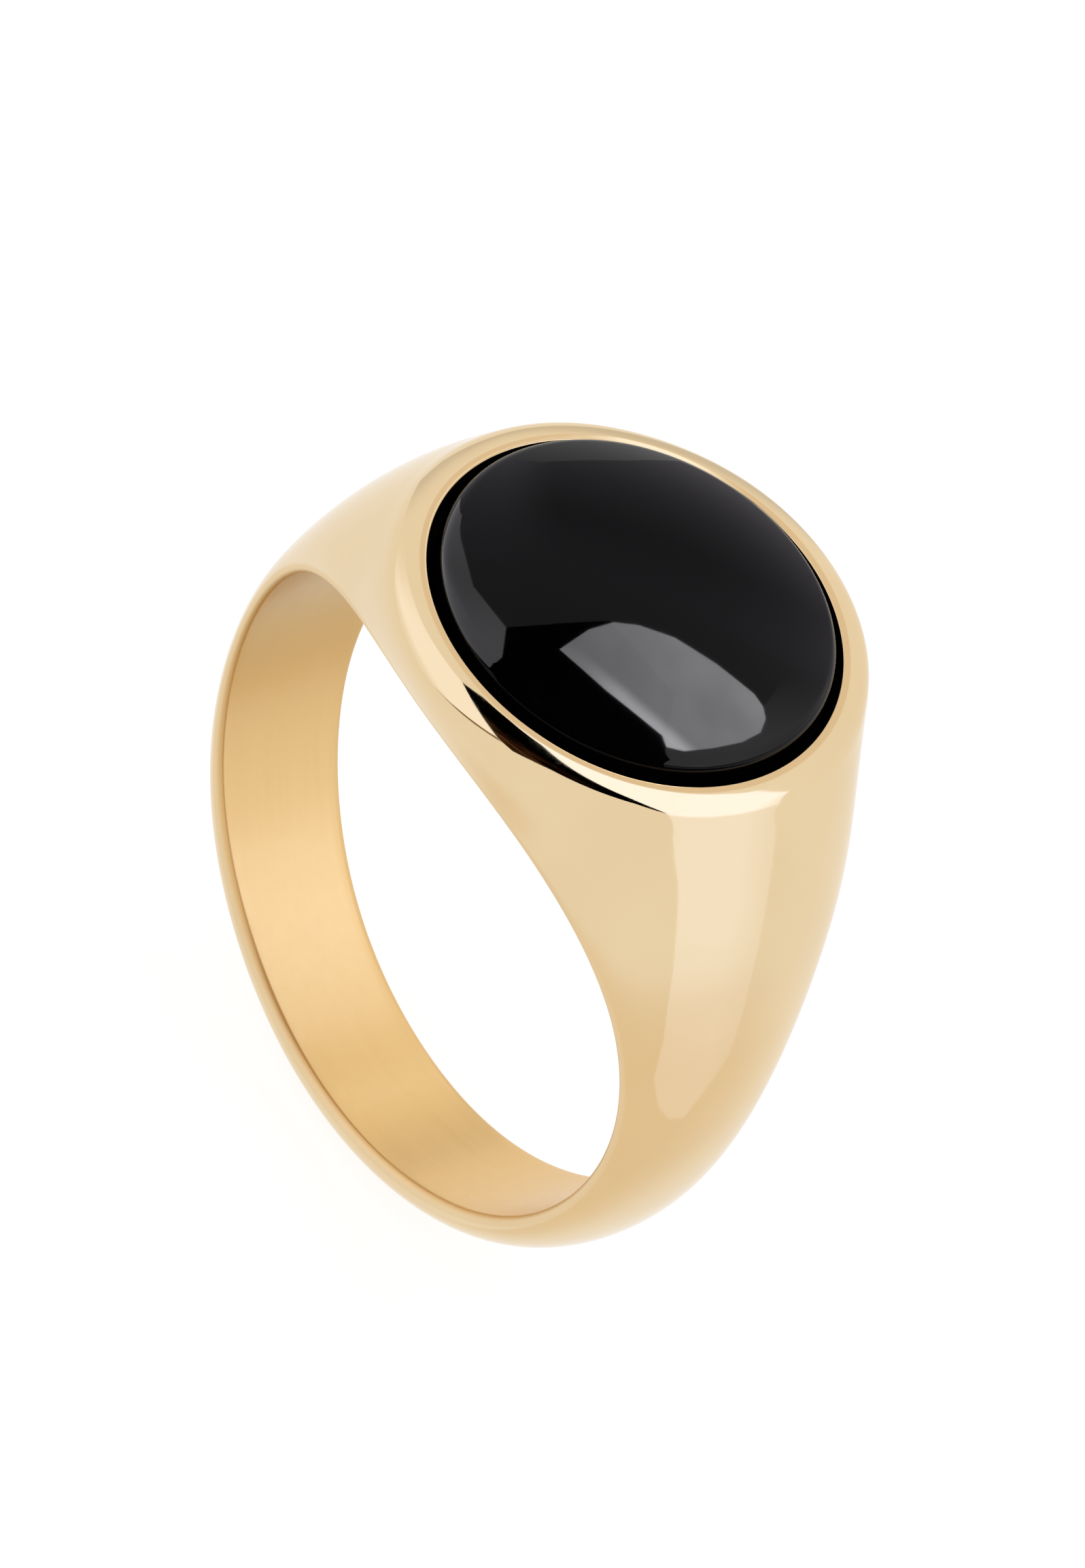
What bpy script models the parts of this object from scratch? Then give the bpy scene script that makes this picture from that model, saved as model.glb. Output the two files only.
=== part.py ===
"""Signet ring with a round, low-domed black stone.

The finger hole's axis is Y, the head points along +Z, and the origin is the
centre of the finger hole. The ring is symmetric about the planes X = 0 and
Y = 0. Lengths are metres; the dimensions below are written in millimetres
and scaled by MM.

Round the finger, an angle is counted from the bottom of the shank (0) to the
middle of the head (180). At each angle the section of the body is a dome on
the wall of the finger hole:

    y^2 = w^2 * (1 + e * t - (1 + e) * t^DOME_POWER)

where w is the half width at the hole, e is how far the sides bulge, and t
runs from 0 at the hole to 1 at the crest. Under the head the bulge is worked
out so that every section passes through one level ellipse, where the side wall
starts to turn in towards the lip. The top of the head is slightly cambered: it
falls a little from the middle towards both shoulders.
"""

import math

import bmesh
import bpy
import numpy as np

MM = 0.001

# Finger hole
FINGER_R = 9.80  # inner diameter 19.6 mm
EDGE_R = 0.26  # rounding between the hole and the sides

# Shank and shoulders, at stations round the finger
STATION_DEG = (0, 30, 60, 90, 120, 150, 180)
HALF_WIDTH = (2.12, 2.14, 2.33, 2.67, 3.78, 5.73, 6.83)
CREST_DEG = (0, 30, 60, 90, 120)
THICKNESS = (1.49, 1.41, 1.35, 1.14, 1.56)
BULGE_DEG = (0, 30, 60, 90, 120, 137)
BULGE = (0.11, 0.18, -0.04, -0.20, -0.09, -0.21)
DOME_POWER = 2.5
CROWN_Z = 15.55  # where the crest would pass over the head if it weren't cut flat

# Head
RIM_X, RIM_Y, RIM_Z = 7.55, 7.31, 11.05  # ellipse where the side wall turns into the rim
LIP_R, LIP_Z = 6.53, 12.04  # outer edge of the narrow flat lip, and its height at the sides
CAMBER = 0.15  # how much lower the lip is at the shoulders
RIM_FALL = math.radians(13.5)  # how steeply the rim starts down from the lip at the sides
RIM_EASE = math.radians(6.0)  # how much gentler that is at the shoulders
PULL_WALL, PULL_LIP = 0.52, 0.52  # how far the rim's curve follows the wall and the lip

# Recess, stone and cement
RECESS_R, RECESS_Z = 6.29, 10.60
STONE_R = 6.00
STONE_BASE_Z, STONE_EDGE_Z = 10.76, 12.42
STONE_DOME = 1.50
STONE_SOFT = 0.30  # rounding between dome and girdle
STONE_BASE_CHAMFER = 0.25
CEMENT_R = 5.60
CEMENT_GAP = 0.02

# Fineness
STATIONS_SHANK, STATIONS_HEAD = 34, 14
POINTS_EDGE, POINTS_SIDE, POINTS_BORE, POINTS_RIM = 4, 14, 3, 5


def clear_scene():
    for item in list(bpy.data.objects):
        bpy.data.objects.remove(item, do_unlink=True)
    for item in list(bpy.data.collections):
        bpy.data.collections.remove(item)


def level_spline(at, values):
    """A cubic spline through the values, level at both ends, as a function."""
    x, y = np.asarray(at, float), np.asarray(values, float)
    h, n = np.diff(x), len(x)
    rise = np.diff(y) / h
    a, b = np.zeros((n, n)), np.zeros(n)
    a[0, 0] = a[-1, -1] = 1.0
    for i in range(1, n - 1):
        a[i, i - 1], a[i, i + 1] = h[i], h[i - 1]
        a[i, i] = 2 * (h[i - 1] + h[i])
        b[i] = 3 * (h[i] * rise[i - 1] + h[i - 1] * rise[i])
    slope = np.linalg.solve(a, b)

    def value(u):
        i = np.clip(np.searchsorted(x, u, side="right") - 1, 0, n - 2)
        s = (u - x[i]) / h[i]
        return (
            y[i] * (1 + 2 * s) * (1 - s) ** 2
            + y[i + 1] * s * s * (3 - 2 * s)
            + h[i] * (slope[i] * s * (1 - s) ** 2 - slope[i + 1] * s * s * (1 - s))
        )

    return value


RIM_ANGLE = math.pi - math.atan2(RIM_X, RIM_Z)  # the rim's own angle at the crest
half_width = level_spline(np.radians(STATION_DEG), HALF_WIDTH)
crest = level_spline(
    [*np.radians(CREST_DEG), RIM_ANGLE, math.pi],
    [*(FINGER_R + t for t in THICKNESS), math.hypot(RIM_X, RIM_Z), CROWN_Z],
)


def bulge_under_rim(off_top):
    """The bulge that takes the section this far from the middle of the head through the rim's ellipse."""
    angle = math.pi - off_top
    x, rho = RIM_Z * math.tan(off_top), RIM_Z / math.cos(off_top)
    t = (rho - FINGER_R) / (crest(angle) - FINGER_R)
    share = RIM_Y**2 * (1 - (x / RIM_X) ** 2) / half_width(angle) ** 2
    return (share - 1 + t**DOME_POWER) / (t - t**DOME_POWER)


UNDER_RIM = np.radians((28, 19, 9.5, 0))
bulge = level_spline(
    [*np.radians(BULGE_DEG), *(math.pi - UNDER_RIM)],
    [*BULGE, *(bulge_under_rim(a) for a in UNDER_RIM)],
)


def side_y(angle, rho):
    """Half width of the body at this angle and distance from the finger's axis, before its edge is rounded."""
    t = np.clip((rho - FINGER_R) / (crest(angle) - FINGER_R), 0, None)
    e = bulge(angle)
    share = 1 + e * t - (1 + e) * t**DOME_POWER
    return half_width(angle) * np.sqrt(np.clip(share, 0, None))


def section(angle, end):
    """Points (y, rho) from the bore's edge, round the corner and up the side to end, the distance of the crest or the rim."""
    turn = np.linspace(0, math.pi / 2, POINTS_EDGE + 1)
    rho = FINGER_R + EDGE_R * (1 - np.cos(turn))
    corner = np.stack(
        [side_y(angle, rho) - EDGE_R * (1 - np.sin(turn)), rho], axis=1
    )
    u = np.linspace(0, 1, 400)
    rho = FINGER_R + EDGE_R + (end - FINGER_R - EDGE_R) * np.sin(u * math.pi / 2)
    line = np.stack([side_y(angle, rho), rho], axis=1)
    along = np.r_[0, np.cumsum(np.linalg.norm(np.diff(line, axis=0), axis=1))]
    even = np.linspace(0, along[-1], POINTS_SIDE + 1)
    side = np.stack([np.interp(even, along, line[:, k]) for k in (0, 1)], axis=1)
    return np.concatenate([corner[:-1], side])


def place(angle, y, rho):
    return np.array([rho * math.sin(angle), y, -rho * math.cos(angle)])


def wall_slope(point):
    """Direction in which the side wall runs down from a point of the rim, in that point's upright radial plane."""
    step = 1e-4

    def field(p):
        rho, a = math.hypot(p[0], p[2]), math.atan2(p[0], -p[2])
        t = (rho - FINGER_R) / (crest(a) - FINGER_R)
        share = 1 + bulge(a) * t - (1 + bulge(a)) * abs(t) ** DOME_POWER
        return p[1] ** 2 - half_width(a) ** 2 * share

    normal = np.array(
        [
            field(point + step * axis) - field(point - step * axis)
            for axis in np.eye(3)
        ]
    )
    out = np.array([point[0], point[1], 0.0])
    out /= np.linalg.norm(out)
    radial, upright = normal @ out, normal[2]
    length = math.hypot(radial, upright)
    return np.array([upright / length, -radial / length])


def lip_height(x):
    return LIP_Z - CAMBER * (x / LIP_R) ** 2


def rim_curve(point):
    """Points from the rim up to the lip: a curve that leaves along the wall and arrives a little steeper than the lip."""
    r = math.hypot(point[0], point[1])
    out = np.array([point[0], point[1]]) / r
    p0 = np.array([r, point[2]])
    p3 = np.array([LIP_R, lip_height(LIP_R * out[0])])
    reach = np.linalg.norm(p3 - p0)
    p1 = p0 - wall_slope(point) * reach * PULL_WALL
    fall = RIM_FALL - RIM_EASE * out[0] ** 16
    p2 = p3 + np.array([math.cos(fall), -math.sin(fall)]) * reach * PULL_LIP
    points = []
    for t in np.linspace(0, 1, POINTS_RIM + 1)[1:]:
        q = (
            (1 - t) ** 3 * p0
            + 3 * (1 - t) ** 2 * t * p1
            + 3 * (1 - t) * t * t * p2
            + t**3 * p3
        )
        points.append(np.array([out[0] * q[0], out[1] * q[0], q[1]]))
    return points


def quarter_body(mesh):
    """One quarter of the body, X and Y positive, open at both planes."""
    reach = np.linspace(0, 1, STATIONS_SHANK + 1)
    shank = RIM_ANGLE * (1 - (1 - reach) ** 1.25)
    turn = np.linspace(0, math.pi / 2, STATIONS_HEAD + 1)[1:]
    head = math.pi - np.arctan2(RIM_X * np.cos(turn), RIM_Z)
    rows, rim_from = [], STATIONS_SHANK
    for k, angle in enumerate(np.concatenate([shank, head])):
        end = crest(angle) if k <= rim_from else RIM_Z / abs(math.cos(angle))
        line = section(angle, end)
        bore = [
            place(angle, y, FINGER_R)
            for y in np.linspace(0, line[0, 0], POINTS_BORE + 1)[:-1]
        ]
        row = bore + [place(angle, y, rho) for y, rho in line]
        if k <= rim_from:
            row[-1][1] = 0.0
        row[0][1] = 0.0
        if k in (0, len(shank) + len(head) - 1):
            for p in row:
                p[0] = 0.0
        rows.append(row)
    caps = []
    for k in range(rim_from, len(rows)):
        cap = rim_curve(rows[k][-1])
        for p in cap:
            if k == rim_from:
                p[1] = 0.0
            if k == len(rows) - 1:
                p[0] = 0.0
        caps.append(cap)
    verts = [[mesh.verts.new(p * MM) for p in row] for row in rows]
    tops = [[mesh.verts.new(p * MM) for p in cap] for cap in caps]
    centre = mesh.verts.new((0.0, 0.0, LIP_Z * MM))
    for a, b in zip(verts, verts[1:]):
        for j in range(len(a) - 1):
            mesh.faces.new((a[j], a[j + 1], b[j + 1], b[j]))
    for k in range(len(tops) - 1):
        low = [verts[rim_from + k][-1], *tops[k]]
        high = [verts[rim_from + k + 1][-1], *tops[k + 1]]
        for j in range(len(low) - 1):
            mesh.faces.new((low[j], low[j + 1], high[j + 1], high[j]))
        mesh.faces.new((low[-1], centre, high[-1]))


def new_object(name, data, group, parent=None):
    item = bpy.data.objects.new(name, data)
    group.objects.link(item)
    item.parent = parent
    return item


def turned(name, profile, group, parent, steps, z=0.0):
    """A solid turned about Z. The profile is (radius, height) pairs that run down the outer side, top to bottom."""
    data = bpy.data.meshes.new(name)
    data.from_pydata(
        [(r * MM, 0.0, h * MM) for r, h in profile],
        [(i, i + 1) for i in range(len(profile) - 1)],
        [],
    )
    item = new_object(name, data, group, parent)
    item.location = (0.0, 0.0, z * MM)
    screw = item.modifiers.new("turn", "SCREW")
    screw.axis = "Z"
    screw.steps = screw.render_steps = steps
    screw.use_merge_vertices = True
    screw.merge_threshold = 1e-6
    screw.use_smooth_shade = True
    return item


def material(name, colour, roughness, metallic):
    made = bpy.data.materials.new(name)
    made.use_nodes = True
    shader = made.node_tree.nodes["Principled BSDF"]
    shader.inputs["Base Color"].default_value = (*colour, 1.0)
    shader.inputs["Roughness"].default_value = roughness
    shader.inputs["Metallic"].default_value = metallic
    return made


def stone_profile():
    """Dome, rounded edge, upright girdle and chamfered base, with heights counted from the base."""
    edge, top = STONE_EDGE_Z - STONE_BASE_Z, STONE_EDGE_Z + STONE_DOME - STONE_BASE_Z
    ball = (STONE_R**2 + STONE_DOME**2) / (2 * STONE_DOME)
    widest = math.asin((STONE_R - STONE_SOFT) / ball)
    dome = [
        (ball * math.sin(a), top - ball * (1 - math.cos(a)))
        for a in np.linspace(0, widest, 14)
    ]
    start, end = np.array(dome[-1]), np.array([STONE_R, edge - STONE_SOFT])
    for t in (0.25, 0.5, 0.75, 1.0):
        corner = np.array([STONE_R, edge])
        dome.append(tuple((1 - t) ** 2 * start + 2 * (1 - t) * t * corner + t * t * end))
    base = [
        (STONE_R, STONE_BASE_CHAMFER),
        (STONE_R - STONE_BASE_CHAMFER, 0.0),
        (0.0, 0.0),
    ]
    return dome + base


def build():
    clear_scene()
    ring = bpy.data.collections.new("signet_ring")
    cutters = bpy.data.collections.new("cutters")
    for group in (ring, cutters):
        bpy.context.scene.collection.children.link(group)
    centre = new_object("finger_centre", None, ring)

    gold = material("polished_gold", (0.80, 0.60, 0.34), 0.10, 1.0)
    black = material("black_stone", (0.012, 0.011, 0.013), 0.05, 0.0)
    glue = material("clear_cement", (0.55, 0.50, 0.40), 0.40, 0.0)

    recess = turned(
        "recess_cutter",
        [(0.0, LIP_Z + 3), (RECESS_R, LIP_Z + 3), (RECESS_R, RECESS_Z), (0.0, RECESS_Z)],
        cutters,
        centre,
        72,
    )
    recess.hide_render = True
    recess.display_type = "WIRE"

    data = bpy.data.meshes.new("ring_body")
    shell = bmesh.new()
    quarter_body(shell)
    bmesh.ops.recalc_face_normals(shell, faces=shell.faces)
    low = min(shell.faces, key=lambda f: f.calc_center_median().z)
    if low.normal.z > 0:
        bmesh.ops.reverse_faces(shell, faces=shell.faces)
    shell.to_mesh(data)
    shell.free()
    body = new_object("ring_body", data, ring, centre)
    mirror = body.modifiers.new("both_ways", "MIRROR")
    mirror.use_axis = (True, True, False)
    mirror.use_clip = True
    mirror.merge_threshold = 1e-7
    cut = body.modifiers.new("recess", "BOOLEAN")
    cut.operation = "DIFFERENCE"
    cut.solver = "EXACT"
    cut.object = recess
    data.shade_smooth()
    data.materials.append(gold)

    cement = turned(
        "adhesive_bed",
        [
            (0.0, STONE_BASE_Z - RECESS_Z - 2 * CEMENT_GAP),
            (CEMENT_R, STONE_BASE_Z - RECESS_Z - 2 * CEMENT_GAP),
            (CEMENT_R, 0.0),
            (0.0, 0.0),
        ],
        ring,
        centre,
        48,
        RECESS_Z + CEMENT_GAP,
    )
    cement.data.materials.append(glue)

    stone = turned("black_stone", stone_profile(), ring, centre, 64, STONE_BASE_Z)
    stone.data.materials.append(black)


build()
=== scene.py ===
"""Looks of the signet ring: fine meshes, gold, onyx and cement, studio and camera."""

import math

import bmesh
import bpy
import numpy as np
from mathutils import Matrix, Vector

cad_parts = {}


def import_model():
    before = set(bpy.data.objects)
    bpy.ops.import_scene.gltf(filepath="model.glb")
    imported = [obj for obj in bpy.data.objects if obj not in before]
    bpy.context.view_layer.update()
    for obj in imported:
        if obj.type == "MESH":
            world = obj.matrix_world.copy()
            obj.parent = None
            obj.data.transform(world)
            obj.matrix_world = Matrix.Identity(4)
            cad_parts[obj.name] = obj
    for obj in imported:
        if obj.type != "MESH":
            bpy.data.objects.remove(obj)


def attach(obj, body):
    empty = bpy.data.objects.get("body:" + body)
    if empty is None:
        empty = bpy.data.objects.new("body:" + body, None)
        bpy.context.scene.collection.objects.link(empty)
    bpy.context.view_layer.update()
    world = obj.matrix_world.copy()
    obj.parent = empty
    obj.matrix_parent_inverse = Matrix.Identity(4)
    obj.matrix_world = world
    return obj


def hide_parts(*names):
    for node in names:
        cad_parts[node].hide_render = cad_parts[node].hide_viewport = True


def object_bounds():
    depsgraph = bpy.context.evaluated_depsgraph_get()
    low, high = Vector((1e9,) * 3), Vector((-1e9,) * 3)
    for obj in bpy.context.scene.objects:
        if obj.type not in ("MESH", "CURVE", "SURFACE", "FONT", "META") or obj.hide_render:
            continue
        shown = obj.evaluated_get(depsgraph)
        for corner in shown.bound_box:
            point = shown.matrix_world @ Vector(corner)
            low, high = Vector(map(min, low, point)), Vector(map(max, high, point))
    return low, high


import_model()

MM = 0.001
cad_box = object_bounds()

# ---------------------------------------------------------------- the body's surface
# The same rules as the CAD model, in millimetres: angle 0 is the bottom of the
# shank and pi the middle of the head.
FINGER_R, EDGE_R = 9.80, 0.26
STATION_DEG = (0, 30, 60, 90, 120, 150, 180)
HALF_WIDTH = (2.12, 2.14, 2.33, 2.67, 3.78, 5.73, 6.83)
CREST_DEG = (0, 30, 60, 90, 120)
THICKNESS = (1.49, 1.41, 1.35, 1.14, 1.56)
BULGE_DEG = (0, 30, 60, 90, 120, 137)
BULGE = (0.11, 0.18, -0.04, -0.20, -0.09, -0.21)
DOME_POWER = 2.5
CROWN_Z = 15.55
RIM_X, RIM_Y, RIM_Z = 7.55, 7.31, 11.05
LIP_R, LIP_Z = 6.53, 12.04
CAMBER = 0.15
LIP_FALL = math.radians(2.5)
RIM_FALL, RIM_EASE = math.radians(13.5), math.radians(6.0)
PULL_WALL, PULL_LIP = 0.52, 0.52
RECESS_R, RECESS_Z = 6.29, 10.60
LIP_BREAK = 0.05  # the lip's inner edge is broken by this much
STONE_R = 6.00
STONE_BASE_Z, STONE_EDGE_Z = 10.76, 12.42
STONE_DOME = 1.50
STONE_SOFT = 0.30
CEMENT_R, CEMENT_GAP = 5.60, 0.02


def level_spline(at, values):
    """A cubic spline through the values, level at both ends, as a function."""
    x, y = np.asarray(at, float), np.asarray(values, float)
    h, n = np.diff(x), len(x)
    rise = np.diff(y) / h
    a, b = np.zeros((n, n)), np.zeros(n)
    a[0, 0] = a[-1, -1] = 1.0
    for i in range(1, n - 1):
        a[i, i - 1], a[i, i + 1] = h[i], h[i - 1]
        a[i, i] = 2 * (h[i - 1] + h[i])
        b[i] = 3 * (h[i] * rise[i - 1] + h[i - 1] * rise[i])
    slope = np.linalg.solve(a, b)

    def value(u):
        i = np.clip(np.searchsorted(x, u, side="right") - 1, 0, n - 2)
        s = (u - x[i]) / h[i]
        return (
            y[i] * (1 + 2 * s) * (1 - s) ** 2
            + y[i + 1] * s * s * (3 - 2 * s)
            + h[i] * (slope[i] * s * (1 - s) ** 2 - slope[i + 1] * s * s * (1 - s))
        )

    return value


RIM_ANGLE = math.pi - math.atan2(RIM_X, RIM_Z)
half_width = level_spline(np.radians(STATION_DEG), HALF_WIDTH)
crest = level_spline(
    [*np.radians(CREST_DEG), RIM_ANGLE, math.pi],
    [*(FINGER_R + t for t in THICKNESS), math.hypot(RIM_X, RIM_Z), CROWN_Z],
)


def bulge_under_rim(off_top):
    angle = math.pi - off_top
    x, rho = RIM_Z * math.tan(off_top), RIM_Z / math.cos(off_top)
    t = (rho - FINGER_R) / (crest(angle) - FINGER_R)
    share = RIM_Y**2 * (1 - (x / RIM_X) ** 2) / half_width(angle) ** 2
    return (share - 1 + t**DOME_POWER) / (t - t**DOME_POWER)


UNDER_RIM = np.radians((28, 19, 9.5, 0))
bulge = level_spline(
    [*np.radians(BULGE_DEG), *(math.pi - UNDER_RIM)],
    [*BULGE, *(bulge_under_rim(a) for a in UNDER_RIM)],
)


def share_at(angle, rho):
    t = (rho - FINGER_R) / (crest(angle) - FINGER_R)
    e = bulge(angle)
    return 1 + e * t - (1 + e) * np.abs(t) ** DOME_POWER


def side_y(angle, rho):
    return half_width(angle) * np.sqrt(np.clip(share_at(angle, rho), 0, None))


def wall_normal(p):
    """Outward normal of the side wall at points (..., 3), before edge and rim are rounded."""

    def field(q):
        rho, a = np.hypot(q[..., 0], q[..., 2]), np.abs(np.arctan2(q[..., 0], -q[..., 2]))
        return q[..., 1] ** 2 - half_width(a) ** 2 * share_at(a, rho)

    step = 1e-4
    g = np.stack(
        [field(p + step * axis) - field(p - step * axis) for axis in np.eye(3)], -1
    )
    return g / (np.linalg.norm(g, axis=-1, keepdims=True) + 1e-15)


def section(angle, end, n_edge, n_side):
    """Points (y, rho) of a section from the bore's edge up to end."""
    turn = np.linspace(0, math.pi / 2, n_edge + 1)
    rho = FINGER_R + EDGE_R * (1 - np.cos(turn))
    corner = np.stack([side_y(angle, rho) - EDGE_R * (1 - np.sin(turn)), rho], 1)
    u = np.linspace(0, 1, 1500)
    rho = FINGER_R + EDGE_R + (end - FINGER_R - EDGE_R) * np.sin(u * math.pi / 2)
    line = np.stack([side_y(angle, rho), rho], 1)
    along = np.r_[0, np.cumsum(np.linalg.norm(np.diff(line, axis=0), axis=1))]
    rho = np.interp(np.linspace(0, along[-1], n_side + 1), along, rho)
    return np.concatenate([corner[:-1], np.stack([side_y(angle, rho), rho], 1)])


def lip_height(x):
    return LIP_Z - CAMBER * (x / LIP_R) ** 2


def rim_curve(point, n_rim):
    """From the rim up to the lip: leaves along the wall and arrives a little steeper than the lip."""
    r = math.hypot(point[0], point[1])
    out = np.array([point[0], point[1]]) / r
    g = wall_normal(np.asarray(point, float))
    radial, upright = g[0] * out[0] + g[1] * out[1], g[2]
    down = np.array([upright, -radial]) / math.hypot(radial, upright)
    p0 = np.array([r, point[2]])
    p3 = np.array([LIP_R, lip_height(LIP_R * out[0])])
    reach = np.linalg.norm(p3 - p0)
    p1 = p0 - down * reach * PULL_WALL
    fall = RIM_FALL - RIM_EASE * out[0] ** 16
    p2 = p3 + np.array([math.cos(fall), -math.sin(fall)]) * reach * PULL_LIP
    t = np.linspace(0, 1, n_rim + 1)[1:, None]
    q = (
        (1 - t) ** 3 * p0
        + 3 * (1 - t) ** 2 * t * p1
        + 3 * (1 - t) * t * t * p2
        + t**3 * p3
    )
    return out, q


def lip_and_recess(lip):
    """Profile (r, z) from the lip's outer edge in to the middle of the recess floor."""
    inner = RECESS_R + LIP_BREAK
    flat = [
        (
            LIP_R + (inner - LIP_R) * k / 4,
            lip + math.tan(LIP_FALL) * (LIP_R - inner) * k / 4,
        )
        for k in range(1, 5)
    ]
    top = flat[-1][1]
    broken = [
        (
            RECESS_R + LIP_BREAK * (1 - math.sin(q)),
            top - LIP_BREAK * (1 - math.cos(q)),
        )
        for q in np.radians((15, 30, 45, 60, 75, 90))
    ]
    wall = [(RECESS_R, z) for z in (11.7, 11.3, 10.9, RECESS_Z + 0.08)]
    fillet = [
        (RECESS_R - 0.08 * (1 - math.cos(q)), RECESS_Z + 0.08 * (1 - math.sin(q)))
        for q in np.radians((30, 60, 90))
    ]
    return np.array(flat + broken + wall + fillet + [(4.0, RECESS_Z), (1.5, RECESS_Z)])


def quarter_body(n_shank=150, n_head=64, n_edge=8, n_side=56, n_bore=7, n_rim=28):
    """One quarter of the body, X and Y positive: points, quads and triangles."""
    reach = np.linspace(0, 1, n_shank + 1)
    shank = RIM_ANGLE * (1 - (1 - reach) ** 1.25)
    turn = np.linspace(0, math.pi / 2, n_head + 1)[1:]
    head = math.pi - np.arctan2(RIM_X * np.cos(turn), RIM_Z)
    head[-1] = math.pi
    angles = np.concatenate([shank, head])
    rows = []
    for k, a in enumerate(angles):
        end = crest(a) if k <= n_shank else RIM_Z / abs(math.cos(a))
        line = section(a, end, n_edge, n_side)
        if k <= n_shank:
            line[-1, 0] = 0.0
        y = np.concatenate([np.linspace(0, line[0, 0], n_bore + 1)[:-1], line[:, 0]])
        rho = np.concatenate([np.full(n_bore, FINGER_R), line[:, 1]])
        row = np.stack([rho * math.sin(a), y, -rho * math.cos(a)], -1)
        if k in (0, len(angles) - 1):
            row[:, 0] = 0.0
        rows.append(row)
    rows = np.array(rows)
    caps = []
    for k in range(n_shank, len(rows)):
        out, q = rim_curve(rows[k, -1], n_rim)
        q = np.concatenate([q, lip_and_recess(q[-1, 1])])
        cap = np.stack([out[0] * q[:, 0], out[1] * q[:, 0], q[:, 1]], -1)
        if k == n_shank:
            cap[:, 1] = 0.0
        if k == len(rows) - 1:
            cap[:, 0] = 0.0
        caps.append(cap)
    caps = np.array(caps)
    nr, nc = rows.shape[:2]
    cr, cc = caps.shape[:2]
    low = np.arange(nr * nc).reshape(nr, nc)
    top = nr * nc + np.arange(cr * cc).reshape(cr, cc)
    top = np.concatenate([low[n_shank:, -1:], top], 1)

    def quads(grid):
        a, b = grid[:-1], grid[1:]
        return np.stack([a[:, :-1], b[:, :-1], b[:, 1:], a[:, 1:]], -1).reshape(-1, 4)

    centre = nr * nc + cr * cc
    fan = np.stack([top[:-1, -1], top[1:, -1], np.full(cr - 1, centre)], -1)
    points = np.concatenate(
        [rows.reshape(-1, 3), caps.reshape(-1, 3), [[0.0, 0.0, RECESS_Z]]]
    )
    return points, np.concatenate([quads(low), quads(top)]), fan


def new_mesh(name, points, faces):
    data = bpy.data.meshes.new(name)
    data.from_pydata(
        [tuple(float(c) for c in p) for p in points],
        [],
        [tuple(int(i) for i in f) for f in faces],
    )
    data.validate()
    data.update()
    data.shade_smooth()
    item = bpy.data.objects.new(name, data)
    bpy.context.scene.collection.objects.link(item)
    return item


def body():
    points, quads, fan = quarter_body()
    allp, allf, n = [], [], 0
    for sx in (1, -1):
        for sy in (1, -1):
            flip = sx * sy < 0
            allp.append(points * (sx, sy, 1))
            for faces in (quads, fan):
                allf.extend((faces[:, ::-1] if flip else faces) + n)
            n += len(points)
    allp = np.concatenate(allp)
    key = np.round(allp * 1e6).astype(np.int64)
    _, first, back = np.unique(key, axis=0, return_index=True, return_inverse=True)
    back = back.reshape(-1)
    return new_mesh("gold_ring", allp[first] * MM, [back[f] for f in allf])


def turned(name, profile, steps):
    """A closed solid turned about Z from (r, z) pairs that start and end on the axis and run down the outer side."""
    profile = np.asarray(profile, float)
    ring = profile[1:-1]
    turn = np.linspace(0, 2 * math.pi, steps, endpoint=False)
    grid = np.stack(
        [
            np.outer(np.cos(turn), ring[:, 0]),
            np.outer(np.sin(turn), ring[:, 0]),
            np.outer(np.ones(steps), ring[:, 1]),
        ],
        -1,
    )
    m = len(ring)
    at = lambda i, j: (i % steps) * m + j
    top, low = steps * m, steps * m + 1
    faces = []
    for i in range(steps):
        faces.append((top, at(i, 0), at(i + 1, 0)))
        faces.append((low, at(i + 1, m - 1), at(i, m - 1)))
        for j in range(m - 1):
            faces.append((at(i, j), at(i, j + 1), at(i + 1, j + 1), at(i + 1, j)))
    points = np.concatenate(
        [grid.reshape(-1, 3), [[0, 0, profile[0, 1]], [0, 0, profile[-1, 1]]]]
    )
    return new_mesh(name, points * MM, faces)


def stone_profile():
    """Dome, softened edge, upright girdle, chamfered base."""
    ball = (STONE_R**2 + STONE_DOME**2) / (2 * STONE_DOME)
    top = STONE_EDGE_Z + STONE_DOME
    last = math.asin((STONE_R - STONE_SOFT) / ball)
    dome = [
        (ball * math.sin(a), top - ball * (1 - math.cos(a)))
        for a in np.linspace(0, last, 60)
    ]
    p0, p1 = np.array(dome[-1]), np.array((STONE_R, STONE_EDGE_Z))
    p2 = np.array((STONE_R, STONE_EDGE_Z - STONE_SOFT))
    corner = [
        tuple((1 - t) ** 2 * p0 + 2 * (1 - t) * t * p1 + t * t * p2)
        for t in np.linspace(0, 1, 17)[1:]
    ]
    side = [(STONE_R, z) for z in (11.9, 11.4, STONE_BASE_Z + 0.25)]
    base = [(STONE_R - 0.25, STONE_BASE_Z), (3.0, STONE_BASE_Z), (0.0, STONE_BASE_Z)]
    return dome + corner + side + base


def cement_profile():
    top, low = STONE_BASE_Z - CEMENT_GAP, RECESS_Z + CEMENT_GAP
    mid = (top + low) / 2
    edge = [
        (CEMENT_R - 0.05 * (1 - math.cos(a)), mid + (top - mid) * math.sin(a))
        for a in np.linspace(math.pi / 2, -math.pi / 2, 7)
    ]
    return [(0.0, top), (2.5, top)] + edge + [(2.5, low), (0.0, low)]


# ---------------------------------------------------------------- materials
def shader_of(name):
    made = bpy.data.materials.new(name)
    made.use_nodes = True
    tree = made.node_tree
    return made, tree, tree.nodes["Principled BSDF"]


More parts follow.
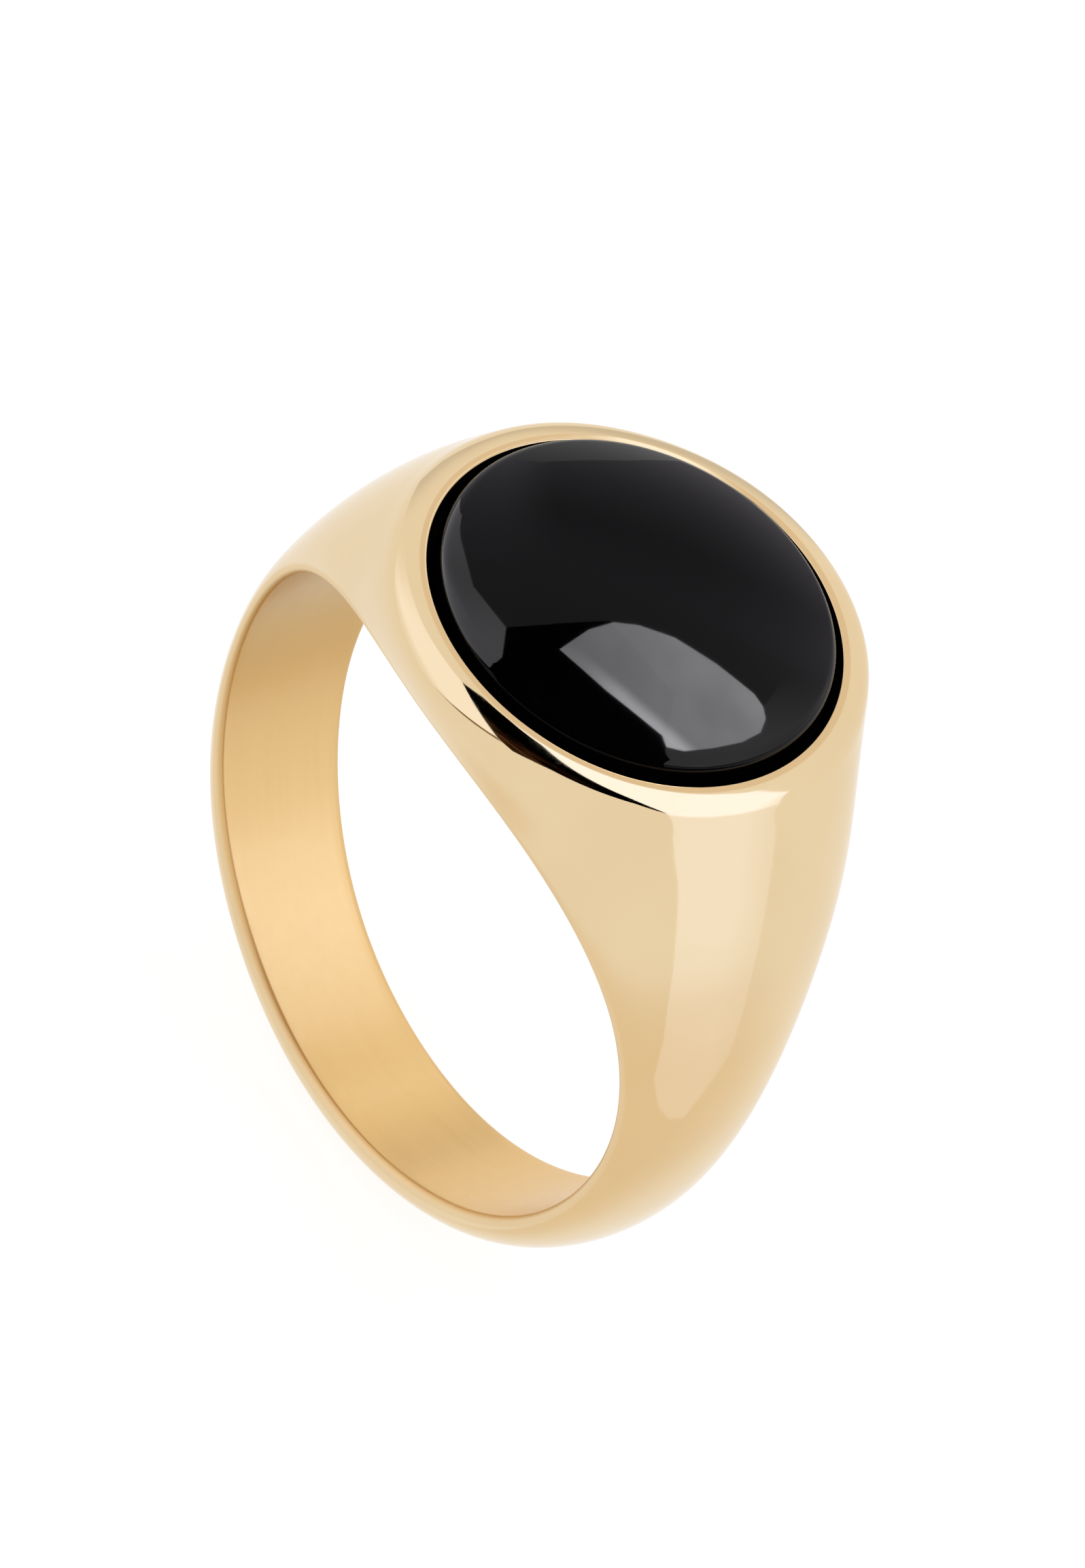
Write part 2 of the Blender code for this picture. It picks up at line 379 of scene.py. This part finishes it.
def node(tree, kind, **values):
    made = tree.nodes.new(kind)
    for key, value in values.items():
        if key.startswith("_"):
            made.inputs[key[1:].replace("_", " ")].default_value = value
        else:
            setattr(made, key, value)
    return made


def noise(tree, source, scale, detail=4.0, rough=0.5, stretch=(1, 1, 1)):
    spread = node(tree, "ShaderNodeMapping")
    spread.inputs["Scale"].default_value = [scale * s for s in stretch]
    tree.links.new(source, spread.inputs["Vector"])
    made = node(tree, "ShaderNodeTexNoise", _Scale=1.0, _Detail=detail, _Roughness=rough)
    tree.links.new(spread.outputs[0], made.inputs["Vector"])
    return made.outputs["Fac"]


def spread_to(tree, value, low, high, start=0.0, end=1.0, smooth=False):
    made = node(tree, "ShaderNodeMapRange")
    if smooth:
        made.interpolation_type = "SMOOTHSTEP"
    made.inputs["From Min"].default_value = start
    made.inputs["From Max"].default_value = end
    made.inputs["To Min"].default_value = low
    made.inputs["To Max"].default_value = high
    tree.links.new(value, made.inputs["Value"])
    return made.outputs["Result"]


def math_node(tree, kind, a, b):
    made = node(tree, "ShaderNodeMath", operation=kind)
    for socket, value in zip(made.inputs, (a, b)):
        if isinstance(value, (int, float)):
            socket.default_value = value
        else:
            tree.links.new(value, socket)
    return made.outputs[0]


def mix_values(tree, share, a, b):
    made = node(tree, "ShaderNodeMix", data_type="FLOAT")
    for key, value in (("Factor", share), ("A", a), ("B", b)):
        if isinstance(value, (int, float)):
            made.inputs[key].default_value = value
        else:
            tree.links.new(value, made.inputs[key])
    return made.outputs["Result"]


def mix_colours(tree, share, a, b):
    made = node(tree, "ShaderNodeMix", data_type="RGBA")
    sockets = {s.identifier: s for s in made.inputs}
    tree.links.new(share, sockets["Factor_Float"])
    for key, value in (("A_Color", a), ("B_Color", b)):
        if isinstance(value, tuple):
            sockets[key].default_value = (*value, 1.0)
        else:
            tree.links.new(value, sockets[key])
    return next(s for s in made.outputs if s.identifier == "Result_Color")


def gold():
    made, tree, shader = shader_of("polished_gold")
    link = tree.links.new
    place = node(tree, "ShaderNodeTexCoord").outputs["Object"]
    split = node(tree, "ShaderNodeSeparateXYZ")
    link(place, split.inputs[0])
    rho = math_node(
        tree,
        "SQRT",
        math_node(
            tree,
            "ADD",
            math_node(tree, "POWER", split.outputs["X"], 2.0),
            math_node(tree, "POWER", split.outputs["Z"], 2.0),
        ),
        0.0,
    )
    outside = spread_to(tree, rho, 0.0, 1.0, 9.81 * MM, 9.98 * MM, smooth=True)

    cloud = noise(tree, place, 220, 3.0, 0.55)
    fine = noise(tree, place, 2600, 4.0, 0.6)
    hair = noise(tree, place, 1.0, 2.0, 0.5, stretch=(160, 3200, 160))
    buff = noise(tree, place, 1.0, 2.0, 0.5, stretch=(900, 5200, 900))

    tone = spread_to(tree, mix_values(tree, outside, hair, cloud), 0.0, 1.0, 0.3, 0.7)
    # the bore is less polished; its deeper yellow is a painted reflection of the gold round it, and it is painted
    # darker towards the head as painted shade
    bore = mix_colours(tree, tone, (0.800, 0.525, 0.220), (0.820, 0.545, 0.236))
    # painted shade: the bore's colour darkens towards the head
    bore_painted_shade = spread_to(tree, split.outputs["Z"], 0.0, 1.0, -9.0 * MM, 3.5 * MM, smooth=True)
    bore = mix_colours(tree, bore_painted_shade, bore, (0.530, 0.345, 0.138))
    skin = mix_colours(tree, tone, (0.785, 0.605, 0.362), (0.815, 0.635, 0.388))
    # the flat lip round the recess is painted darker and a deeper yellow: painted shade
    wide = math_node(
        tree,
        "SQRT",
        math_node(
            tree,
            "ADD",
            math_node(tree, "POWER", split.outputs["X"], 2.0),
            math_node(tree, "POWER", split.outputs["Y"], 2.0),
        ),
        0.0,
    )
    lip = math_node(
        tree,
        "MULTIPLY",
        spread_to(tree, wide, 1.0, 0.0, 6.50 * MM, 6.55 * MM, smooth=True),
        spread_to(tree, split.outputs["Z"], 0.0, 1.0, 11.6 * MM, 11.7 * MM, smooth=True),
    )
    # painted shade on the flat lip
    skin = mix_colours(tree, lip, skin, (0.720, 0.510, 0.275))
    link(mix_colours(tree, outside, bore, skin), shader.inputs["Base Color"])

    polished = math_node(
        tree,
        "ADD",
        spread_to(tree, cloud, 0.035, 0.075, 0.35, 0.7),
        spread_to(tree, fine, 0.0, 0.03, 0.45, 0.8),
    )
    satin = math_node(
        tree,
        "ADD",
        spread_to(tree, hair, 0.27, 0.31, 0.3, 0.7),
        spread_to(tree, fine, 0.0, 0.04, 0.4, 0.8),
    )
    worn = spread_to(tree, rho, 0.0, 1.0, 9.98 * MM, 10.16 * MM, smooth=True)
    # and the rounded edge of the bore is the most rubbed part
    edge = math_node(
        tree,
        "MULTIPLY",
        spread_to(tree, rho, 0.0, 1.0, 9.80 * MM, 9.84 * MM, smooth=True),
        spread_to(tree, rho, 1.0, 0.0, 10.02 * MM, 10.20 * MM, smooth=True),
    )
    rough = mix_values(tree, worn, satin, polished)
    link(mix_values(tree, edge, rough, 0.52), shader.inputs["Roughness"])

    height = mix_values(
        tree,
        outside,
        math_node(tree, "MULTIPLY", hair, 0.05),
        math_node(
            tree,
            "ADD",
            math_node(tree, "MULTIPLY", buff, 0.05),
            math_node(tree, "MULTIPLY", cloud, 0.6),
        ),
    )
    bump = node(tree, "ShaderNodeBump", _Strength=0.35, _Distance=0.004 * MM)
    link(height, bump.inputs["Height"])
    link(bump.outputs[0], shader.inputs["Normal"])
    shader.inputs["Metallic"].default_value = 1.0
    shader.inputs["Specular IOR Level"].default_value = 0.5
    return made


def onyx():
    made, tree, shader = shader_of("black_onyx")
    link = tree.links.new
    place = node(tree, "ShaderNodeTexCoord").outputs["Object"]
    cloud = noise(tree, place, 180, 4.0, 0.55)
    dust = noise(tree, place, 5200, 3.0, 0.6)
    link(
        mix_colours(
            tree,
            spread_to(tree, cloud, 0.0, 1.0, 0.35, 0.7),
            (0.0003, 0.0002, 0.0003),
            (0.0010, 0.0008, 0.0011),
        ),
        shader.inputs["Base Color"],
    )
    link(
        math_node(
            tree,
            "ADD",
            spread_to(tree, cloud, 0.020, 0.045, 0.3, 0.7),
            spread_to(tree, dust, 0.0, 0.02, 0.55, 0.8),
        ),
        shader.inputs["Roughness"],
    )
    shader.inputs["IOR"].default_value = 1.54
    shader.inputs["Specular IOR Level"].default_value = 0.085
    return made


def glue():
    made, tree, shader = shader_of("jewellers_cement")
    link = tree.links.new
    place = node(tree, "ShaderNodeTexCoord").outputs["Object"]
    cloud = noise(tree, place, 1400, 4.0, 0.6)
    link(
        mix_colours(
            tree,
            spread_to(tree, cloud, 0.0, 1.0, 0.3, 0.7),
            (0.34, 0.29, 0.20),
            (0.52, 0.46, 0.36),
        ),
        shader.inputs["Base Color"],
    )
    link(spread_to(tree, cloud, 0.30, 0.55, 0.3, 0.7), shader.inputs["Roughness"])
    bump = node(tree, "ShaderNodeBump", _Strength=0.4, _Distance=0.02 * MM)
    link(cloud, bump.inputs["Height"])
    link(bump.outputs[0], shader.inputs["Normal"])
    return made


def paint_recess_shade():
    """Near-black metal on the recess's wall and floor, round and under the stone: painted shade for the deep, narrow
    gap.
    """
    made, tree, shader = shader_of("painted_shade_recess")
    link = tree.links.new
    place = node(tree, "ShaderNodeTexCoord").outputs["Object"]
    cloud = noise(tree, place, 1800, 4.0, 0.6)
    link(
        mix_colours(
            tree,
            spread_to(tree, cloud, 0.0, 1.0, 0.3, 0.7),
            (0.0010, 0.0009, 0.0009),
            (0.0030, 0.0024, 0.0020),
        ),
        shader.inputs["Base Color"],
    )
    link(spread_to(tree, cloud, 0.55, 0.8, 0.3, 0.7), shader.inputs["Roughness"])
    shader.inputs["Specular IOR Level"].default_value = 0.05
    return made


ring = body()
ring.data.materials.append(gold())
ring.data.materials.append(paint_recess_shade())
# faces of the recess take the painted shade
for face in ring.data.polygons:
    x, y, z = face.center
    if math.hypot(x, y) < (RECESS_R + 0.001) * MM and z > (RECESS_Z - 0.1) * MM:
        face.material_index = 1
stone = turned("onyx_dome", stone_profile(), 192)
stone.data.materials.append(onyx())
bed = turned("cement_layer", cement_profile(), 96)
bed.data.materials.append(glue())

for piece, cad_node, slot in (
    (ring, "ring_body", "gold"),
    (stone, "black_stone", "stone"),
    (bed, "adhesive_bed", "cement"),
):
    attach(piece, "root")
    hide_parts(cad_node)

# ---------------------------------------------------------------- studio
EYE = Vector((0.181070, -0.270340, 0.330250))
TARGET = Vector((-0.001063, 0.001745, 0.002011))
UP = Vector((-0.75063472, 0.24623746, 0.61311878))


def facing(item, where, towards, up=Vector((0, 0, 1))):
    """Puts a camera or light there, looking along its -Z at a point."""
    back = (where - towards).normalized()
    right = up.cross(back)
    if right.length < 1e-6:
        right = Vector((0, 1, 0)).cross(back)
    right.normalize()
    turned_up = back.cross(right)
    item.matrix_world = Matrix.Translation(where) @ Matrix(
        (right, turned_up, back)
    ).transposed().to_4x4()


def camera():
    data = bpy.data.cameras.new("camera")
    data.lens, data.sensor_width, data.sensor_fit = 368.3, 36.0, "AUTO"
    data.clip_start, data.clip_end = 0.01, 10.0
    item = bpy.data.objects.new("camera", data)
    bpy.context.scene.collection.objects.link(item)
    facing(item, EYE, TARGET, UP)
    bpy.context.scene.camera = item


def world():
    made = bpy.data.worlds.new("white_tent")
    bpy.context.scene.world = made
    made.use_nodes = True
    tree = made.node_tree
    tree.nodes.clear()
    out = tree.nodes.new("ShaderNodeOutputWorld")
    seen = node(tree, "ShaderNodeBackground", _Color=(1, 1, 1, 1), _Strength=1.05)
    tent = node(tree, "ShaderNodeBackground", _Color=(1, 1, 1, 1), _Strength=1.0)
    path = tree.nodes.new("ShaderNodeLightPath")
    mix = tree.nodes.new("ShaderNodeMixShader")
    tree.links.new(path.outputs["Is Camera Ray"], mix.inputs[0])
    tree.links.new(tent.outputs[0], mix.inputs[1])
    tree.links.new(seen.outputs[0], mix.inputs[2])
    tree.links.new(mix.outputs[0], out.inputs[0])


def floor():
    data = bpy.data.meshes.new("floor")
    n, r, z = 96, 0.9, float(cad_box[0].z)
    data.from_pydata(
        [
            (r * math.cos(2 * math.pi * k / n), r * math.sin(2 * math.pi * k / n), z)
            for k in range(n)
        ],
        [],
        [tuple(range(n))],
    )
    item = bpy.data.objects.new("floor", data)
    bpy.context.scene.collection.objects.link(item)
    made, tree, shader = shader_of("pale_floor")
    shader.inputs["Base Color"].default_value = (0.24, 0.24, 0.24, 1)
    shader.inputs["Roughness"].default_value = 0.6
    shader.inputs["Emission Color"].default_value = (1, 1, 1, 1)
    shader.inputs["Emission Strength"].default_value = 0.82
    data.materials.append(made)
    # reflections look past it, at the white tent and the cards below the horizon
    item.visible_glossy = False
    return item


# Cards stand on a sphere round the ring. Their corners are degrees off the line
# from the ring to the place where the camera stands: right, then up.
LOOK_BACK = (EYE - TARGET).normalized()
LOOK_RIGHT = UP.cross(LOOK_BACK).normalized()
LOOK_UP = LOOK_BACK.cross(LOOK_RIGHT)
CARD_CENTRE = Vector((0.0, 0.0, 0.006))


def off_axis(right, up):
    a = math.radians(math.hypot(right, up))
    if a < 1e-9:
        return LOOK_BACK.copy()
    side = (LOOK_RIGHT * right + LOOK_UP * up) / math.hypot(right, up)
    return LOOK_BACK * math.cos(a) + side * math.sin(a)


def card(name, corners, radius, shade, lit=None):
    """A card that only reflections see. shade builds its shader; lit limits which pieces it shines on."""
    flat = bmesh.new()
    face = flat.faces.new([flat.verts.new((x, y, 0.0)) for x, y in corners])
    bmesh.ops.subdivide_edges(flat, edges=flat.edges[:], cuts=7)
    bmesh.ops.triangulate(flat, faces=flat.faces[:])
    bmesh.ops.subdivide_edges(flat, edges=flat.edges[:], cuts=1)
    spots = flat.loops.layers.uv.new("degrees")
    for face in flat.faces:
        for loop in face.loops:
            loop[spots].uv = (loop.vert.co.x, loop.vert.co.y)
    for v in flat.verts:
        v.co = CARD_CENTRE + off_axis(v.co.x, v.co.y) * radius
    data = bpy.data.meshes.new(name)
    flat.to_mesh(data)
    flat.free()
    item = bpy.data.objects.new(name, data)
    bpy.context.scene.collection.objects.link(item)
    made = bpy.data.materials.new(name)
    made.use_nodes = True
    tree = made.node_tree
    tree.nodes.clear()
    out = tree.nodes.new("ShaderNodeOutputMaterial")
    where = node(tree, "ShaderNodeUVMap", uv_map="degrees").outputs["UV"]
    spread = tree.nodes.new("ShaderNodeSeparateXYZ")
    tree.links.new(where, spread.inputs[0])
    tree.links.new(shade(tree, where, spread.outputs[0], spread.outputs[1]), out.inputs[0])
    made.cycles.emission_sampling = "NONE"
    data.materials.append(made)
    item.visible_camera = item.visible_diffuse = item.visible_shadow = False
    item.visible_transmission = item.visible_volume_scatter = False
    if lit:
        group = bpy.data.collections.new(name + "_shines_on")
        for piece in lit:
            group.objects.link(piece)
        item.light_linking.receiver_collection = group
    return item


def glow(tree, colour, strength):
    """Light added to whatever stands behind the card."""
    light = tree.nodes.new("ShaderNodeEmission")
    light.inputs["Color"].default_value = (*colour, 1.0)
    if isinstance(strength, (int, float)):
        light.inputs["Strength"].default_value = strength
    else:
        tree.links.new(strength, light.inputs["Strength"])
    clear = tree.nodes.new("ShaderNodeBsdfTransparent")
    both = tree.nodes.new("ShaderNodeAddShader")
    tree.links.new(light.outputs[0], both.inputs[0])
    tree.links.new(clear.outputs[0], both.inputs[1])
    return both.outputs[0]


def dark_gap():
    """The dark room behind the camera, seen through the tent's opening."""

    def shade(tree, where, right, up):
        spot = node(tree, "ShaderNodeVectorMath", operation="DISTANCE")
        tree.links.new(where, spot.inputs[0])
        spot.inputs[1].default_value = (0.0, 20.0, 0.0)
        warm = spread_to(tree, spot.outputs["Value"], 1.0, 0.0, 4.0, 30.0, smooth=True)
        patch = noise(tree, where, 0.07, 3.0, 0.6)
        level = math_node(tree, "MULTIPLY", warm, spread_to(tree, patch, 0.0, 1.0, 0.40, 0.62))
        light = tree.nodes.new("ShaderNodeEmission")
        light.inputs["Color"].default_value = (0.110, 0.048, 0.022, 1.0)
        tree.links.new(level, light.inputs["Strength"])
        return light.outputs[0]

    corners = [(12, 58.5), (28, 60), (31, 42), (36, 22), (39.5, -14), (37, -9), (33, 3), (22, 8), (12, 14), (1, 9), (-12, 1), (-11, 14), (-1, 34), (7, 49)]
    return card("dark_gap", corners, 0.30, shade)


def dark_room():
    """The rest of the room, which only the stone sees as dark; the ring sees it as white as the tent."""

    def shade(tree, where, right, up):
        light = tree.nodes.new("ShaderNodeEmission")
        return light.outputs[0]

    corners = [(0, 57.5), (28, 60), (45, 40), (42, 25), (40, -10), (31, -45), (27, -66), (-66, -66), (-75, -40), (-58, 0), (-30, 26), (-1, 49)]
    return card("dark_room", corners, 0.40, shade, [ring])


def left_softbox():
    """The bright side of the tent on the left, above a thin dark seam."""

    def shade(tree, where, right, up):
        side = spread_to(tree, right, 0.25, 1.0, -80.0, -45.0, smooth=True)
        top = spread_to(tree, up, 1.0, 0.0, 60.0, 90.0, smooth=True)
        return glow(tree, (0.20, 0.25, 0.42), math_node(tree, "MULTIPLY", side, top))

    corners = [(-11, 14), (-1, 34), (7, 49), (12, 58.5), (2, 68), (-12, 92), (-40, 92), (-75, 60), (-88, 30), (-86, -2), (-74, -5), (-55, -2), (-37, 3.5), (-17, 11)]
    return card("left_softbox", corners, 0.34, shade, [ring])


def left_seam():
    def shade(tree, where, right, up):
        light = tree.nodes.new("ShaderNodeEmission")
        tree.links.new(
            mix_colours(
                tree,
                spread_to(tree, right, 0.0, 1.0, -44.0, -72.0, smooth=True),
                (0.28, 0.20, 0.12),
                (0.90, 0.88, 0.84),
            ),
            light.inputs["Color"],
        )
        return light.outputs[0]

    corners = [(-12, 14), (-17, 11), (-37, 3.5), (-55, -2), (-74, -5), (-76, -9.5), (-66, -9), (-52, -6), (-37, -2), (-17, 6), (-12, 9)]
    return card("left_seam", corners, 0.33, shade, [ring])


def roof():
    """The tent's roof behind the ring, dimmer towards the back; the ring and the stone see it differently."""
    corners = [(-2, 76), (20, 74), (45, 68), (70, 56), (95, 44), (120, 55), (128, 85), (100, 122), (60, 130), (38, 123), (10, 118), (-30, 124), (-60, 118), (-40, 92)]

    def seen_by_ring(tree, where, right, up):
        light = tree.nodes.new("ShaderNodeEmission")
        light.inputs["Color"].default_value = (1.0, 0.985, 0.965, 1.0)
        tree.links.new(
            spread_to(tree, up, 1.0, 0.76, 92.0, 116.0, smooth=True), light.inputs["Strength"]
        )
        return light.outputs[0]

    def seen_by_stone(tree, where, right, up):
        back = math_node(tree, "ADD", up, math_node(tree, "MULTIPLY", right, 0.3))
        dim = math_node(
            tree,
            "MULTIPLY",
            spread_to(tree, back, 0.0, 0.46, 78.0, 104.0, smooth=True),
            spread_to(tree, right, 0.0, 1.0, -2.0, 16.0, smooth=True),
        )
        return glow(tree, (1.0, 0.95, 1.02), math_node(tree, "SUBTRACT", 1.03, dim))

    card("roof", corners, 0.46, seen_by_ring, [ring])
    return card("roof_for_stone", corners, 0.455, seen_by_stone, [stone])


def far_highlight():
    """A small bright patch of the tent's roof that the far side of the lip catches."""

    def shade(tree, where, right, up):
        level = math_node(
            tree,
            "MULTIPLY",
            spread_to(tree, up, 0.0, 1.0, 79.5, 83.0, smooth=True),
            math_node(
                tree,
                "MULTIPLY",
                spread_to(tree, right, 0.0, 1.0, 39.6, 41.0, smooth=True),
                spread_to(tree, right, 1.0, 0.0, 43.0, 46.0, smooth=True),
            ),
        )
        return glow(tree, (0.45, 0.75, 1.30), level)

    corners = [(30, 79), (48, 79), (48, 90), (40, 95), (30, 95)]
    return card("far_highlight", corners, 0.35, shade, [ring])


def warm_floor():
    """The table under and in front of the ring, a little darker and warmer than the tent."""

    def shade(tree, where, right, up):
        light = tree.nodes.new("ShaderNodeEmission")
        away = node(tree, "ShaderNodeVectorMath", operation="LENGTH")
        tree.links.new(where, away.inputs[0])
        share = math_node(
            tree,
            "MULTIPLY",
            spread_to(tree, up, 0.0, 1.0, -68.0, -84.0, smooth=True),
            spread_to(tree, away.outputs["Value"], 1.0, 0.0, 105.0, 145.0, smooth=True),
        )
        tree.links.new(
            mix_colours(tree, share, (1.0, 1.0, 1.0), (0.925, 0.835, 0.705)),
            light.inputs["Color"],
        )
        return light.outputs[0]

    corners = [(-130, -66), (-60, -66), (0, -66), (60, -66), (130, -66), (150, -85), (125, -120), (70, -155), (0, -172), (-70, -155), (-125, -120), (-150, -85)]
    return card("warm_floor", corners, 0.45, shade, [ring])


def right_softbox():
    def shade(tree, where, right, up):
        high = spread_to(tree, up, 1.0, 2.6, -26.0, -12.0, smooth=True)
        low = spread_to(tree, up, 0.6, 1.0, -84.0, -52.0, smooth=True)
        side = spread_to(tree, right, 1.0, 0.55, 68.0, 84.0, smooth=True)
        level = math_node(tree, "MULTIPLY", math_node(tree, "MULTIPLY", high, low), side)
        return glow(tree, (0.13, 0.19, 0.37), level)

    corners = [(28, 60), (40, 59.5), (50, 57.5), (55, 56), (76, 22), (84, -20), (84, -38), (83, -54), (82, -67), (81, -75), (79, -79), (62, -91), (52, -92), (40, -90), (32, -85), (40, -79), (41, -70), (39, -50), (37, -44), (38, -30), (39.5, -14), (36, 22), (31, 42)]
    return card("right_softbox", corners, 0.36, shade, [ring])


def stone_softbox():
    def shade(tree, where, right, up):
        # brighter along the edge next to the dark gap
        along = node(tree, "ShaderNodeVectorMath", operation="DOT_PRODUCT")
        tree.links.new(where, along.inputs[0])
        along.inputs[1].default_value = (0.651, 0.759, 0.0)  # across that edge
        band = spread_to(tree, along.outputs["Value"], 1.0, 0.0, 48.2, 52.4, smooth=True)
        band = math_node(tree, "MULTIPLY", band, spread_to(tree, right, 4.0, 26.0, 18.0, 34.0, smooth=True))
        level = math_node(tree, "ADD", band, 19.0)
        # a fold in the cloth, and a soft fall towards the far end
        fold = spread_to(tree, noise(tree, where, 0.07, 1.0, 0.5), 0.90, 1.03, 0.35, 0.65)
        far = spread_to(tree, right, 0.74, 1.0, 16.0, 40.0, smooth=True)
        level = math_node(tree, "MULTIPLY", math_node(tree, "MULTIPLY", level, fold), far)
        return glow(tree, (1.0, 0.985, 1.03), level)

    corners = [(14, 51), (22, 57), (29, 59.5), (36, 59), (46, 56), (58, 49), (69, 41), (71.5, 37.5), (72, 34), (70, 30), (64, 27), (55, 25), (47, 24), (42, 25), (41, 28), (36, 32), (26, 40)]
    return card("stone_softbox", corners, 0.26, shade, [stone])


def stone_left_panel():
    def shade(tree, where, right, up):
        return glow(tree, (1.0, 0.96, 1.02), spread_to(tree, up, 5.4, 3.0, 50.0, 75.0, smooth=True))

    corners = [(0, 57.5), (-4, 63), (-9, 70), (-13, 86), (-14, 95), (-60, 110), (-110, 60), (-95, 0), (-58, 0), (-30, 26), (-1, 49)]
    return card("stone_left_panel", corners, 0.42, shade, [stone])


def stone_low_panel():
    """The dim band below the softbox."""

    def shade(tree, where, right, up):
        side = spread_to(tree, right, 2.3, 0.6, 60.0, 104.0, smooth=True)
        level = math_node(tree, "MULTIPLY", side, spread_to(tree, up, 1.0, 0.0, 26.0, 50.0, smooth=True))
        return glow(tree, (1.0, 0.98, 1.03), level)

    corners = [(31, -45), (40, -10), (42, 25), (47, 24), (55, 25), (64, 27), (70, 30), (72, 34), (71.5, 37.5), (80, 47), (106, 62), (118, 20), (100, -20), (50, -50)]
    return card("stone_low_panel", corners, 0.43, shade, [stone])


camera()
world()
floor()
dark_gap()
dark_room()
left_softbox()
left_seam()
roof()
far_highlight()
warm_floor()
right_softbox()
stone_softbox()
stone_left_panel()
stone_low_panel()
view = bpy.context.scene.view_settings
view.view_transform = "Standard"
view.look = "None"
